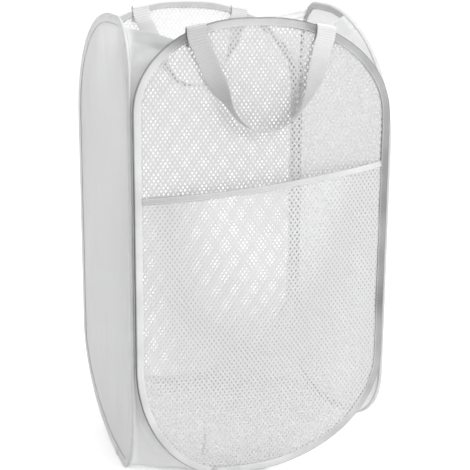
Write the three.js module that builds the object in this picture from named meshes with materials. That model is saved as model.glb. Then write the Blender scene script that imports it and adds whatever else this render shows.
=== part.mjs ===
// A square pop up laundry hamper, in millimetres, +Z up, its front towards -Y.
// Four spring wire hoops stand as the walls of a box. Each lies in a folded tape that also grips the
// edge of a panel: net in front and behind, plain nylon at the sides. The walls are sewn together along
// their upright edges, and corner gussets fill the places where the hoops curve away from each other.
// The box folds flat as a parallelogram. A webbing handle hangs from each net wall, and the front wall
// has a pocket.
import * as THREE from "three";
import { TessellateModifier } from "three/addons/modifiers/TessellateModifier.js";

// Overall size of the hoops as they stand
const height = 610;
const width = 356;

// Spring wire, and the crimped sleeve that joins its two ends
const wire_radius = 1.1;
const wire_sides = 6;
const wire_end_gap = 0.6;
const ferrule_slip = 0.15;
const ferrule_wall = 0.5;
const ferrule_length = 16;

// Sewn pieces: the tape round the wire, the panels and the gaps between them
const fabric_thickness = 0.5;
const sewn_gap = 0.3;
const tape_wall = 0.7;
const tape_width = 11;
const tape_end_gap = 0.6;
const tape_joint_inset = 8;
const tape_chamfer_share = 0.35;
const hinge_gap = 0.15;

// Corner radii of the hoops, as shares of the overall width and height: of the net walls seen from
// the front, of the side walls seen from outside
const face_corner_shares = {
  bottom_left: { across: 0.3511, up: 0.2623 },
  bottom_right: { across: 0.5337, up: 0.2459 },
  top_right: { across: 0.4775, up: 0.2098 },
  top_left: { across: 0.3989, up: 0.1836 },
};
const side_corner_shares = {
  bottom_left: { across: 0.6461, up: 0.1885 },
  bottom_right: { across: 0.1826, up: 0.1475 },
  top_right: { across: 0.1685, up: 0.1148 },
  top_left: { across: 0.6882, up: 0.2705 },
};
const corner_steps = 8;

// Net walls: upright diamonds in staggered rows
const net_pitch_across = 46;
const net_pitch_up = 64;
const net_strand = 7;
const net_margin = 4;

// Pocket on the lower front: hem heights at its ends, the sag and the belly between them
const pocket_left_height = 387;
const pocket_right_height = 419;
const pocket_sag = 8;
const pocket_belly = 14;
const pocket_pitch_across = 54;
const pocket_pitch_up = 76;
const pocket_steps = 12;
const pocket_longest_edge = 50;
const pocket_splits = 6;
const hem_height = 9;
const hem_thickness = 1.1;

// Webbing handles
const webbing_width = 25;
const webbing_thickness = 1.2;
const wrap_steps_across = 4;
const wrap_bend_steps = 6;
const wrap_gap = 0.75;
const wrap_inner_leg = 22;
const wrap_outer_leg = 9.5;
const loop_steps = 26;
const loop_start_drop = 10;
const loop_foot_gap = 1.5;
const loop_twist = THREE.MathUtils.degToRad(76);
const loop_twist_power = 2;
const loop_rise_power = 3;
const front_handle = { centre: -6, half_span: 85, drop: 125 };
const back_handle = { centre: -3, half_span: 77, drop: 114 };

// Floor and corner gussets
const floor_level = 5;
const gusset_face_hem_drop = 27;
const gusset_side_hem_drop = 13;
const gusset_steps = 8;
const gusset_steps_across = 3;

// Worked out from the sizes above
const cornerSizes = (shares) => {
  const sized = ([name, share]) => [name, { across: share.across * width, up: share.up * height }];
  return Object.fromEntries(Object.entries(shares).map(sized));
};
const face_corners = cornerSizes(face_corner_shares);
const side_corners = cornerSizes(side_corner_shares);
const gusset_face_hem = height - gusset_face_hem_drop;
const gusset_side_hem = height - gusset_side_hem_drop;
const ferrule_radius = wire_radius + ferrule_slip + ferrule_wall;
const wire_room = ferrule_radius + sewn_gap;
const fold = wire_room + tape_wall;
const slot_half = fabric_thickness / 2 + sewn_gap;
const leg = tape_width - fold;
const plane = width / 2 - fold;
const hinge_inset = fold + hinge_gap;
const edge_inset = hinge_inset + fold + hinge_gap;
const half = plane - edge_inset;
const bottom = fold;
const top = height - fold;
const pocket_reach = half - leg - sewn_gap;
const wrap_radius = fold + wrap_gap;
const loop_clearance = wrap_radius + webbing_thickness + 2 * sewn_gap;
const loop_reach =
  loop_foot_gap +
  webbing_width * Math.sin(loop_twist) +
  (webbing_thickness / 2) * (1 + Math.cos(loop_twist));
const front_shift = (loop_reach - wrap_radius - webbing_thickness) / 2;

const materials = {
  steel: new THREE.MeshStandardMaterial({ color: 0x8d9094, roughness: 0.35, metalness: 1 }),
  sleeve: new THREE.MeshStandardMaterial({ color: 0xb4b6b8, roughness: 0.4, metalness: 1 }),
  tape: new THREE.MeshStandardMaterial({ color: 0xb9bbbf, roughness: 0.6, metalness: 0 }),
  net: new THREE.MeshStandardMaterial({ color: 0xf1f2f3, roughness: 0.8, metalness: 0 }),
  nylon: new THREE.MeshStandardMaterial({ color: 0xd6d8da, roughness: 0.7, metalness: 0 }),
  webbing: new THREE.MeshStandardMaterial({ color: 0xdadbdc, roughness: 0.85, metalness: 0 }),
};

// A mesh whose faces point outwards whichever way its points were laid
function piece(name, geometry, material) {
  const spots = geometry.getAttribute("position");
  const order = geometry.index ? geometry.index.array : [...Array(spots.count).keys()];
  const [a, b, c] = [new THREE.Vector3(), new THREE.Vector3(), new THREE.Vector3()];
  let volume = 0;
  for (let i = 0; i < order.length; i += 3) {
    a.fromBufferAttribute(spots, order[i]);
    b.fromBufferAttribute(spots, order[i + 1]);
    c.fromBufferAttribute(spots, order[i + 2]);
    volume += a.dot(b.cross(c));
  }
  if (volume < 0) {
    const turned = Array.from(order, (_, i) => order[i % 3 ? i + (i % 3 === 1 ? 1 : -1) : i]);
    geometry.setIndex(turned);
  }
  const mesh = new THREE.Mesh(geometry, material);
  mesh.name = name;
  return mesh;
}

// A box of unit coordinates whose points a function then puts in place
const outer_group = 3;
const quad_indices = 6;

function formed(steps_across, steps_through, steps_along, place) {
  const box = new THREE.BoxGeometry(1, 1, 1, steps_across, steps_through, steps_along);
  const spots = box.getAttribute("position");
  for (let i = 0; i < spots.count; i++) {
    const spot = place(spots.getX(i), spots.getY(i), spots.getZ(i) + 1 / 2);
    spots.setXYZ(i, spot.x, spot.y, spot.z);
  }
  // The outer broad face takes the inner one's diagonals, so a twisted sheet keeps its thickness
  const order = box.index.array;
  const { start, count } = box.groups[outer_group];
  for (let i = start; i < start + count; i += quad_indices) {
    const [a, b, d, , c] = order.slice(i, i + quad_indices);
    order.set([a, b, c, a, c, d], i);
  }
  return box;
}

// A line through given points, each with its own direction, stepped from point to point
class SteppedLine extends THREE.Curve {
  constructor(points, directions) {
    super();
    this.points = points;
    this.directions = directions;
  }
  getPoint(t) {
    return this.points[Math.round(t * (this.points.length - 1))].clone();
  }
  getPointAt(t) {
    return this.getPoint(t);
  }
  getTangentAt(t) {
    return this.directions[Math.round(t * (this.directions.length - 1))].clone();
  }
}

// A hoop's corners in the order of its line, each with its side and its level as signs
function hoopTurns(corners) {
  return [
    [corners.bottom_right, 1, -1],
    [corners.top_right, 1, 1],
    [corners.top_left, -1, 1],
    [corners.bottom_left, -1, -1],
  ];
}

// The wire's line in the wall's own plane: along the bottom from start, once round, back to end
function hoopLine(corners, start, end) {
  const along = new THREE.Vector3(1, 0, 0);
  const points = [new THREE.Vector3(start, 0, bottom)];
  const directions = [along.clone()];
  hoopTurns(corners).forEach(([corner, right, up], turn) => {
    const centre_x = right * (half - corner.across);
    const centre_z = up > 0 ? top - corner.up : bottom + corner.up;
    for (let step = 0; step <= corner_steps; step++) {
      const angle = (turn - 1 + step / corner_steps) * (Math.PI / 2);
      const x = centre_x + corner.across * Math.cos(angle);
      const z = centre_z + corner.up * Math.sin(angle);
      points.push(new THREE.Vector3(x, 0, z));
      const direction = new THREE.Vector3(
        -corner.across * Math.sin(angle),
        0,
        corner.up * Math.cos(angle),
      );
      directions.push(direction.normalize());
    }
  });
  points.push(new THREE.Vector3(end, 0, bottom));
  directions.push(along.clone());
  return new SteppedLine(points, directions);
}

function sweep(section, line) {
  return new THREE.ExtrudeGeometry(section, { steps: line.points.length - 1, extrudePath: line });
}

function polygonShape(spots) {
  return new THREE.Shape(spots.map(([x, y]) => new THREE.Vector2(x, y)));
}

function roundSection(radius) {
  const spots = [];
  for (let i = 0; i < wire_sides; i++) {
    const angle = (i / wire_sides) * 2 * Math.PI;
    spots.push([radius * Math.cos(angle), radius * Math.sin(angle)]);
  }
  return polygonShape(spots);
}

// The folded tape: a channel whose round end holds the wire and whose legs grip the panel
function tapeSection() {
  const outer = [
    [-leg, slot_half + tape_wall],
    [-wire_room, fold],
    [fold * tape_chamfer_share, fold],
    [fold, fold * tape_chamfer_share],
  ];
  const inner = [
    [-leg, slot_half],
    [-wire_room, wire_room],
    [wire_room * tape_chamfer_share, wire_room],
    [wire_room, wire_room * tape_chamfer_share],
  ];
  const mirrored = (spots) => spots.map(([x, y]) => [x, -y]).reverse();
  return polygonShape([...outer, ...mirrored(outer), ...inner.concat(mirrored(inner)).reverse()]);
}

// The panel's outline, inset from the wire's line
function wallShape(corners, inset) {
  const shape = new THREE.Shape();
  const [right, low, high] = [half - inset, bottom + inset, top - inset];
  hoopTurns(corners).forEach(([corner, side, up], turn) => {
    const [across, rise] = [corner.across - inset, corner.up - inset];
    const from = (turn - 1) * (Math.PI / 2);
    shape.absellipse(
      side * (right - across),
      up > 0 ? high - rise : low + rise,
      across,
      rise,
      from,
      from + Math.PI / 2,
      false,
      0,
    );
  });
  return shape;
}

// How far a hoop has curved in from its upright edge at a height
function curvedIn(low_corner, high_corner, z) {
  const above = (z - (top - high_corner.up)) / high_corner.up;
  const below = (bottom + low_corner.up - z) / low_corner.up;
  if (above > 0) return high_corner.across * (1 - Math.sqrt(Math.max(0, 1 - above * above)));
  if (below > 0) return low_corner.across * (1 - Math.sqrt(Math.max(0, 1 - below * below)));
  return 0;
}

// The wire's height along the top of a net wall
function wireTop(x) {
  const corner = x > 0 ? face_corners.top_right : face_corners.top_left;
  const past = Math.max(0, Math.abs(x) - (half - corner.across)) / corner.across;
  return top - corner.up * (1 - Math.sqrt(1 - past * past));
}

// Staggered diamonds, kept where all four points pass the test
function cutDiamonds(shape, pitch_across, pitch_up, low, high, inside) {
  const reach_x = (pitch_across - net_strand) / 2;
  const reach_z = (pitch_up - net_strand) / 2;
  const rows = Math.ceil((2 * (high - low)) / pitch_up);
  const columns = Math.ceil(half / pitch_across);
  for (let row = 0; row <= rows; row++) {
    const z = low + (row * pitch_up) / 2;
    for (let column = -columns; column <= columns; column++) {
      const x = (column + (row % 2) / 2) * pitch_across;
      const points = [
        [x - reach_x, z],
        [x, z + reach_z],
        [x + reach_x, z],
        [x, z - reach_z],
      ];
      if (points.every(([px, pz]) => inside(px, pz))) {
        shape.holes.push(new THREE.Path(points.map(([px, pz]) => new THREE.Vector2(px, pz))));
      }
    }
  }
}

function insideHoop(corners, inset, x, z) {
  if (z < bottom + inset || z > top - inset || Math.abs(x) > half - inset) return false;
  const [low, high] = x > 0
    ? [corners.bottom_right, corners.top_right]
    : [corners.bottom_left, corners.top_left];
  const corner = z > height / 2 ? high : low;
  const rise = z > height / 2 ? z - (top - corner.up) : bottom + corner.up - z;
  const past = Math.abs(x) - (half - corner.across);
  if (rise <= 0 || past <= 0) return true;
  return Math.hypot(past / (corner.across - inset), rise / (corner.up - inset)) <= 1;
}

// A flat shape stood upright in the wall's plane, its middle on that plane
function standing(shape, thickness) {
  const sheet = new THREE.ExtrudeGeometry(shape, {
    depth: thickness,
    bevelEnabled: false,
    curveSegments: corner_steps / 2,
  });
  return sheet.rotateX(Math.PI / 2).translate(0, thickness / 2, 0);
}

function wirePieces(wall, corners) {
  const run = (corners.bottom_left.across - corners.bottom_right.across) / 2;
  const line = hoopLine(corners, run + wire_end_gap / 2, run - wire_end_gap / 2);
  const sleeve = roundSection(ferrule_radius);
  const bore = roundSection(wire_radius + ferrule_slip);
  sleeve.holes.push(new THREE.Path(bore.getPoints()));
  const sleeve_ends = [run - ferrule_length / 2, run + ferrule_length / 2];
  const along = new THREE.Vector3(1, 0, 0);
  const sleeve_line = new SteppedLine(
    sleeve_ends.map((x) => new THREE.Vector3(x, 0, bottom)),
    [along, along],
  );
  return [
    piece(wall + "_wire_hoop", sweep(roundSection(wire_radius), line), materials.steel),
    piece(wall + "_wire_ferrule", sweep(sleeve, sleeve_line), materials.sleeve),
  ];
}

function tapePiece(wall, corners) {
  const joint = corners.bottom_left.across - half + tape_joint_inset;
  const line = hoopLine(corners, joint + tape_end_gap / 2, joint - tape_end_gap / 2);
  return piece(wall + "_edge_tape", sweep(tapeSection(), line), materials.tape);
}

function panelShape(corners) {
  return wallShape(corners, (leg + wire_room) / 2);
}

function netPiece(wall, corners) {
  const shape = panelShape(corners);
  const inset = leg + net_margin;
  cutDiamonds(shape, net_pitch_across, net_pitch_up, bottom + inset, top - inset, (x, z) =>
    insideHoop(corners, inset, x, z),
  );
  return piece(wall + "_net", standing(shape, fabric_thickness), materials.net);
}

function nylonPiece(wall) {
  return piece(wall + "_panel", standing(panelShape(side_corners), fabric_thickness), materials.nylon);
}

// The pocket's upper edge, and how far it stands off the net wall
function pocketTop(x) {
  const share = x / pocket_reach;
  const level = (pocket_left_height + pocket_right_height) / 2;
  const slope = (pocket_right_height - pocket_left_height) / 2;
  return level + slope * share - pocket_sag * (1 - share * share);
}

function pocketOut(x, z) {
  const share = Math.min(1, Math.abs(x) / pocket_reach);
  const rise = Math.max(0, (z - bottom) / (pocketTop(x) - bottom));
  return slot_half + tape_wall / 2 + pocket_belly * (1 - share * share) * Math.min(1, rise);
}

function pocketNet() {
  const inset = leg + sewn_gap;
  const shape = new THREE.Shape();
  const [low_left, low_right] = [face_corners.bottom_left, face_corners.bottom_right];
  const right = half - inset;
  const low = bottom + inset;
  const rises = [low_right.up - inset, low_left.up - inset];
  const reaches = [low_right.across - inset, low_left.across - inset];
  shape.absellipse(right - reaches[0], low + rises[0], reaches[0], rises[0], -Math.PI / 2, 0, false, 0);
  for (let step = 0; step <= pocket_steps; step++) {
    const x = right * (1 - (2 * step) / pocket_steps);
    shape.lineTo(x, pocketTop(x) - hem_height - sewn_gap);
  }
  shape.absellipse(
    -(right - reaches[1]),
    low + rises[1],
    reaches[1],
    rises[1],
    Math.PI,
    Math.PI * (3 / 2),
    false,
    0,
  );
  const margin = inset + net_margin;
  cutDiamonds(
    shape,
    pocket_pitch_across,
    pocket_pitch_up,
    bottom + margin,
    pocket_right_height,
    (x, z) => insideHoop(face_corners, margin, x, z) && z < pocketTop(x) - hem_height - net_strand,
  );
  const splitter = new TessellateModifier(pocket_longest_edge, pocket_splits);
  const sheet = splitter.modify(standing(shape, fabric_thickness));
  const spots = sheet.getAttribute("position");
  for (let i = 0; i < spots.count; i++) {
    spots.setY(i, spots.getY(i) - pocketOut(spots.getX(i), spots.getZ(i)));
  }
  return piece("front_pocket_net", sheet, materials.net);
}

function pocketHem() {
  const hem = formed(pocket_steps, 1, 1, (across, through, up) => {
    const x = 2 * across * pocket_reach;
    const z = pocketTop(x) - hem_height * (1 - up);
    return new THREE.Vector3(x, through * hem_thickness - pocketOut(x, z), z);
  });
  return piece("front_pocket_hem", hem, materials.tape);
}

// One sewn end of a handle: up the inside of the wall, over the tape and down the outside
function handleWrap(name, centre_x) {
  const last = wrap_bend_steps + 2;
  const strap = formed(wrap_steps_across, 1, last, (across, through, along) => {
    const station = Math.round(along * last);
    const x = centre_x + across * webbing_width;
    const radius = wrap_radius + webbing_thickness * (through + 1 / 2);
    const bend = THREE.MathUtils.clamp((station - 1) / wrap_bend_steps, 0, 1);
    const hanging = station === 0 ? wrap_inner_leg : station === last ? wrap_outer_leg : 0;
    const angle = Math.PI * bend;
    const z = wireTop(x) + radius * Math.sin(angle) - hanging;
    return new THREE.Vector3(x, radius * Math.cos(angle), z);
  });
  return piece(name, strap, materials.webbing);
}

// The free loop of a handle: it hangs as a curve and turns from face on to edge on at its foot
function handleLoop(name, handle) {
  const ends = [handle.centre - handle.half_span, handle.centre + handle.half_span];
  const axis_height = (wireTop(ends[0]) + wireTop(ends[1])) / 2;
  const from = Math.sqrt(1 - loop_start_drop / handle.drop);
  const loop = formed(1, 1, loop_steps, (across, through, along) => {
    const q = from * (2 * along - 1);
    const turn = loop_twist * (1 - q * q) ** loop_twist_power;
    const direction = new THREE.Vector3(handle.half_span, 0, 2 * handle.drop * q).normalize();
    const outward = new THREE.Vector3(0, -1, 0);
    const downward = new THREE.Vector3(direction.z, 0, -direction.x);
    const facing = outward.clone().multiplyScalar(Math.cos(turn));
    facing.addScaledVector(downward, Math.sin(turn));
    const sideways = downward.clone().multiplyScalar(Math.cos(turn));
    sideways.addScaledVector(outward, -Math.sin(turn));
    const rise_share = Math.abs(q / from) ** loop_rise_power;
    const clearance = loop_foot_gap + (loop_clearance - loop_foot_gap) * rise_share;
    const out = clearance + (webbing_width / 2) * Math.sin(turn) + webbing_thickness / 2;
    const x = handle.centre + handle.half_span * q;
    const spot = new THREE.Vector3(x, -out, axis_height - handle.drop * (1 - q * q));
    spot.addScaledVector(facing, through * webbing_thickness);
    spot.addScaledVector(sideways, across * webbing_width);
    const past_end = axis_height - loop_start_drop - spot.z;
    const at_end = Math.abs(2 * along - 1) === 1;
    return at_end ? spot.addScaledVector(direction, past_end / direction.z) : spot;
  });
  return piece(name, loop, materials.webbing);
}

function handlePieces(wall, handle) {
  return [
    handleWrap(wall + "_handle_left_end", handle.centre - handle.half_span),
    handleWrap(wall + "_handle_right_end", handle.centre + handle.half_span),
    handleLoop(wall + "_handle_loop", handle),
  ];
}

// A wall's pieces, made facing the front and turned to their side of the box
function wallGroup(wall, corners, turn, parts) {
  const group = new THREE.Group();
  const carried = new THREE.Group();
  carried.position.y = -plane;
  carried.add(...wirePieces(wall, corners), tapePiece(wall, corners), ...parts);
  group.add(carried);
  group.rotation.z = turn;
  return group;
}

// The lower and upper radii of the two hoops that meet at a corner; right and back are 1 or -1
function hoopsAt(right, back) {
  const side = right === back ? "_right" : "_left";
  const face = right > 0 ? "_right" : "_left";
  return {
    face: [face_corners["bottom" + face], face_corners["top" + face]],
    side: [side_corners["bottom" + side], side_corners["top" + side]],
  };
}

// One corner of the box: its gussets above and below, and the strip that joins the upright runs
function cornerPieces(name, right, back) {
  const corner = hoopsAt(right, back);
  const clear = plane - fold - sewn_gap - fabric_thickness / 2;
  const place = (along, through, face_z, side_z) => {
    const on_face = new THREE.Vector3(half - curvedIn(...corner.face, face_z), clear, face_z);
    const on_side = new THREE.Vector3(clear, half - curvedIn(...corner.side, side_z), side_z);
    const out = new THREE.Vector3(clear - on_side.y, clear - on_face.x, 0).normalize();
    const spot = on_face.lerp(on_side, along + 1 / 2).addScaledVector(out, through * fabric_thickness);
    return new THREE.Vector3(spot.x * right, spot.y * back, spot.z);
  };
  const split_low = bottom + Math.max(corner.face[0].up, corner.side[0].up);
  const split_high = top - Math.max(corner.face[1].up, corner.side[1].up);
  const floor_top = floor_level + fabric_thickness + sewn_gap;
  const upper = formed(gusset_steps_across, 1, gusset_steps, (along, through, up) => {
    const share = Math.sin((up * Math.PI) / 2);
    const face_z = split_high + (gusset_face_hem - split_high) * share;
    const side_z = split_high + (gusset_side_hem - split_high) * share;
    return place(along, through, face_z, side_z);
  });
  const lower = formed(gusset_steps_across, 1, gusset_steps, (along, through, up) => {
    const z = split_low - (split_low - floor_top) * Math.sin(((1 - up) * Math.PI) / 2);
    return place(along, through, z, z);
  });
  const seam = formed(1, 1, 1, (along, through, up) => {
    const z = split_low + sewn_gap + (split_high - split_low - 2 * sewn_gap) * up;
    return place(along, through, z, z);
  });
  return [
    piece(name + "_upper_gusset", upper, materials.nylon),
    piece(name + "_lower_gusset", lower, materials.nylon),
    piece(name + "_corner_seam", seam, materials.nylon),
  ];
}

// The floor's fabric: its edges lie inside the hoops, its corners follow the lower gussets
function floorPiece() {
  const edge = plane - fold - sewn_gap;
  const outline = [];
  [[-1, -1], [1, -1], [1, 1], [-1, 1]].forEach(([right, back]) => {
    const corner = hoopsAt(right, back);
    const on_face = [right * (half - curvedIn(...corner.face, floor_level)), back * edge];
    const on_side = [right * edge, back * (half - curvedIn(...corner.side, floor_level))];
    outline.push(...(right === back ? [on_side, on_face] : [on_face, on_side]));
  });
  const sheet = new THREE.ExtrudeGeometry(polygonShape(outline), {
    depth: fabric_thickness,
    bevelEnabled: false,
  });
  return piece("floor_panel", sheet.translate(0, 0, floor_level), materials.nylon);
}

// The back hoop turned about: its left is the front's right
const back_corners = {
  bottom_left: face_corners.bottom_right,
  bottom_right: face_corners.bottom_left,
  top_right: face_corners.top_left,
  top_left: face_corners.top_right,
};

// The back handle hangs inside the hamper, so its pieces are turned about
const back_handle_group = new THREE.Group();
back_handle_group.rotation.z = Math.PI;
back_handle_group.add(...handlePieces("back", back_handle));

const hamper = new THREE.Group();
hamper.position.y = front_shift;
hamper.add(
  wallGroup("front", face_corners, 0, [
    netPiece("front", face_corners),
    pocketNet(),
    pocketHem(),
    ...handlePieces("front", front_handle),
  ]),
  wallGroup("left", side_corners, -Math.PI / 2, [nylonPiece("left")]),
  wallGroup("right", side_corners, Math.PI / 2, [nylonPiece("right")]),
  wallGroup("back", back_corners, Math.PI, [netPiece("back", back_corners), back_handle_group]),
  ...cornerPieces("front_left", -1, -1),
  ...cornerPieces("front_right", 1, -1),
  ...cornerPieces("back_left", -1, 1),
  ...cornerPieces("back_right", 1, 1),
  floorPiece(),
);

const scene_root = new THREE.Group();
scene_root.add(hamper);
export default scene_root;
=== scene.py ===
# %% [markdown]
# # A pop up laundry hamper
# Four hoops of spring wire, each in a folded edge tape, stand as the walls of a box. The front and the back
# are net, the sides are nylon, and the corners are closed by nylon gussets. A net pocket and two webbing
# handles are sewn on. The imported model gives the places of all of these, so it is loaded first and
# everything else is built round it, in metres.

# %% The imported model
import math

import bmesh
import bpy
import numpy as np
from mathutils import Matrix, Vector


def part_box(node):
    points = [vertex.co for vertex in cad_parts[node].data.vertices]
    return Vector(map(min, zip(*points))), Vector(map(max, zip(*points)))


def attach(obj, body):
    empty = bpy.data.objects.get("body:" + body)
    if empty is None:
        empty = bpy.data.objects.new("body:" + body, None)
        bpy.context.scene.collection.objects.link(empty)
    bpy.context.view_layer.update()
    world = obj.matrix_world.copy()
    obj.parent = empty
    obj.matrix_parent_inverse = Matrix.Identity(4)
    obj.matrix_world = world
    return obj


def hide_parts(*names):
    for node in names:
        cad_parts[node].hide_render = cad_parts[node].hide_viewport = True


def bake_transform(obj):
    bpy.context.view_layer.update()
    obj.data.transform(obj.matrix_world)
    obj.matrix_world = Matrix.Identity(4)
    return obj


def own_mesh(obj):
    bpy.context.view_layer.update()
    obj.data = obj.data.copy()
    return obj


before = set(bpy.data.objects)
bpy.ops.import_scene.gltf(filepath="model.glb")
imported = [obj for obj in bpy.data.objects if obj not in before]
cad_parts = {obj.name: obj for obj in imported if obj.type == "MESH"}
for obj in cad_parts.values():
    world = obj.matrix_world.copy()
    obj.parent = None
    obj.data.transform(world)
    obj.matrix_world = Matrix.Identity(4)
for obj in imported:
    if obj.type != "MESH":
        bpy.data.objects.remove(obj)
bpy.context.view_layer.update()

# %% [markdown]
# ## The camera
# The photograph was taken from a little above the rim and from the left of the front wall. Its place and its
# lens were worked out from the outlines of the four hoops. The camera is made first, because every
# piece is judged through it. A camera's own axes are right, up and back, so they are the columns of its matrix.

# %% The camera
picture_pixels = 470
focal_pixels = 1218.0
camera_place = Vector((-0.4928, -1.6168, 0.7219))
camera_yaw, camera_pitch, camera_roll = 0.3028, 0.2501, 0.0069
sensor_width = 36.0


def added(name, data):
    """A new object of the scene that shows a mesh, a camera or a lamp"""
    thing = bpy.data.objects.new(name, data)
    bpy.context.scene.collection.objects.link(thing)
    return thing


def aimed(yaw, pitch, roll):
    """The turn of a camera that looks along +Y at rest, turned to the right, down and about its view"""
    view = Vector((math.sin(yaw) * math.cos(pitch), math.cos(yaw) * math.cos(pitch), -math.sin(pitch)))
    level = Vector((math.cos(yaw), -math.sin(yaw), 0))
    upright = level.cross(view)
    right = level * math.cos(roll) + upright * math.sin(roll)
    up = upright * math.cos(roll) - level * math.sin(roll)
    return Matrix((right, up, -view)).transposed()


camera_data = bpy.data.cameras.new("camera")
camera_data.sensor_width = sensor_width
camera_data.lens = sensor_width * focal_pixels / picture_pixels
camera = added("camera", camera_data)
turn = aimed(camera_yaw, camera_pitch, camera_roll).to_quaternion()
camera.matrix_world = Matrix.LocRotScale(camera_place, turn, None)
bpy.context.scene.camera = camera
print("lens", round(camera_data.lens, 1), "mm")

# %% [markdown]
# ## The walls and their hoops
# Every wall is drawn as if it were the front one: across from left to right as seen from outside, out from
# the wall and up. `on_wall` then turns those three numbers to the wall's side of the box. The overall
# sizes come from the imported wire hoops. A hoop's corners are quarter ellipses, each as far across and up as
# its two numbers say, because a sprung hoop doesn't bend to four equal arcs.

# %% Sizes of the walls
wire_radius = 0.0011
tape_fold = 0.00275
tape_leg = 0.00825
tape_cloth = 0.0007
slot_half = 0.00055
face_corners = {
    "bottom_left": (0.125, 0.160),
    "bottom_right": (0.190, 0.150),
    "top_right": (0.170, 0.128),
    "top_left": (0.142, 0.112),
}
side_corners = {
    "bottom_left": (0.230, 0.115),
    "bottom_right": (0.065, 0.090),
    "top_right": (0.060, 0.070),
    "top_left": (0.245, 0.165),
}
back_corners = {
    "bottom_left": face_corners["bottom_right"],
    "bottom_right": face_corners["bottom_left"],
    "top_right": face_corners["top_left"],
    "top_left": face_corners["top_right"],
}
front_low, front_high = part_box("front_wire_hoop")
back_low, back_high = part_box("back_wire_hoop")
front_plane = (front_low.y + front_high.y) / 2
back_plane = (back_low.y + back_high.y) / 2
middle = (front_plane + back_plane) / 2
plane = (back_plane - front_plane) / 2
half = front_high.x - wire_radius
bottom = front_low.z + wire_radius
top = front_high.z - wire_radius
walls = {
    "front": (0.0, face_corners),
    "right": (90.0, side_corners),
    "back": (180.0, back_corners),
    "left": (270.0, side_corners),
}


def points_of(*axes):
    """Points from their coordinates, each a number or a table"""
    return np.stack(np.broadcast_arrays(*axes), axis=-1)


def on_wall(wall, across, out, up):
    """Points of a wall, in the row frame"""
    turn = math.radians(walls[wall][0])
    depth = -plane - out
    x = across * math.cos(turn) - depth * math.sin(turn)
    y = across * math.sin(turn) + depth * math.cos(turn) + middle
    return points_of(x, y, up)


print("half width", round(half, 4), "from", round(bottom, 4), "to", round(top, 4))

# %% The line of a hoop
# The quarter turns in the order of the line, each with its side and its level
turns = (("bottom_right", 1, -1), ("top_right", 1, 1), ("top_left", -1, 1), ("bottom_left", -1, -1))


def running_length(points):
    """Metres along a line of points, from its first one"""
    return np.concatenate([[0], np.cumsum(np.linalg.norm(np.diff(points, axis=0), axis=1))])


def hoop_line(corners, start, lap=0.0, spacing=0.004):
    """Even points (across, up) once round a hoop from start on the bottom, with their outward directions"""
    points, outward = [(start - lap / 2, bottom)], [(0.0, -1.0)]
    for quarter, (corner, side, level) in enumerate(turns):
        across, up = corners[corner]
        centre = np.array((side * (half - across), top - up if level > 0 else bottom + up))
        for angle in (quarter - 1 + np.linspace(0, 1, 60)) * math.pi / 2:
            cosine, sine = math.cos(angle), math.sin(angle)
            points.append(centre + (across * cosine, up * sine))
            direction = np.array((up * cosine, across * sine))
            outward.append(direction / np.linalg.norm(direction))
    points.append((start + lap / 2, bottom))
    outward.append((0.0, -1.0))
    points, outward = np.array(points), np.array(outward)
    run = running_length(points)
    even = np.linspace(0, run[-1], round(run[-1] / spacing) + 1)
    evened = lambda table: np.stack([np.interp(even, run, column) for column in table.T], axis=1)
    return evened(points), evened(outward)


def reach_in(low_corner, high_corner, up):
    """How far a hoop has curved in from its upright edge at each height"""
    up = np.asarray(up, float)
    above = np.clip((up - (top - high_corner[1])) / high_corner[1], 0, 1)
    below = np.clip((bottom + low_corner[1] - up) / low_corner[1], 0, 1)
    return high_corner[0] * (1 - np.sqrt(1 - above**2)) + low_corner[0] * (1 - np.sqrt(1 - below**2))


def wall_heights(corners, across, inset):
    """The lowest and highest place inside a hoop at each distance across"""
    heights = []
    for level, sign in (("bottom", 1), ("top", -1)):
        corner = np.where(across[:, None] > 0, corners[level + "_right"], corners[level + "_left"])
        past = np.clip(np.abs(across) - (half - corner[:, 0]), 0, None) / (corner[:, 0] - inset)
        rise = (corner[:, 1] - inset) * (1 - np.sqrt(np.clip(1 - past**2, 0, 1)))
        heights.append((bottom if sign > 0 else top) + sign * (inset + rise))
    return heights


print("the front hoop's wire is", round(running_length(hoop_line(face_corners, 0.0)[0])[-1], 3), "m long")

# %% [markdown]
# ## Nodes as plain Python
# Shader trees and Geometry Nodes trees are built the same way here. `Graph.make` adds any node from its
# type, its settings and what goes into its sockets. What comes out is wrapped in a `Signal`, whose
# operators add Math nodes, so that a pattern can be written down as one expression.

# %% A small language for nodes
class Signal:
    """One output socket of a node"""

    def __init__(self, graph, socket):
        self.graph, self.socket = graph, socket

    def of(self, name):
        """Another output of the same node"""
        return Signal(self.graph, self.socket.node.outputs[name])

    def math(self, operation, *others, first=None):
        """A Math node, with this signal before the others or after the first"""
        values = [self if first is None else first, *(others if first is None else (self,))]
        return self.graph.make("ShaderNodeMath", {"operation": operation}, dict(enumerate(values)))

    def __add__(self, other):
        return self.math("ADD", other)

    def __sub__(self, other):
        return self.math("SUBTRACT", other)

    def __rsub__(self, other):
        return self.math("SUBTRACT", first=other)

    def __mul__(self, other):
        return self.math("MULTIPLY", other)

    __radd__, __rmul__ = __add__, __mul__

    def wave(self, pitch=None):
        """Its sine, or with a pitch in metres, a wave with that pitch"""
        return (self if pitch is None else self * (2 * math.pi / pitch)).math("SINE")

    def limited(self):
        """Kept between 0 and 1"""
        return self.math("MINIMUM", 1.0).math("MAXIMUM", 0.0)


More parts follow.
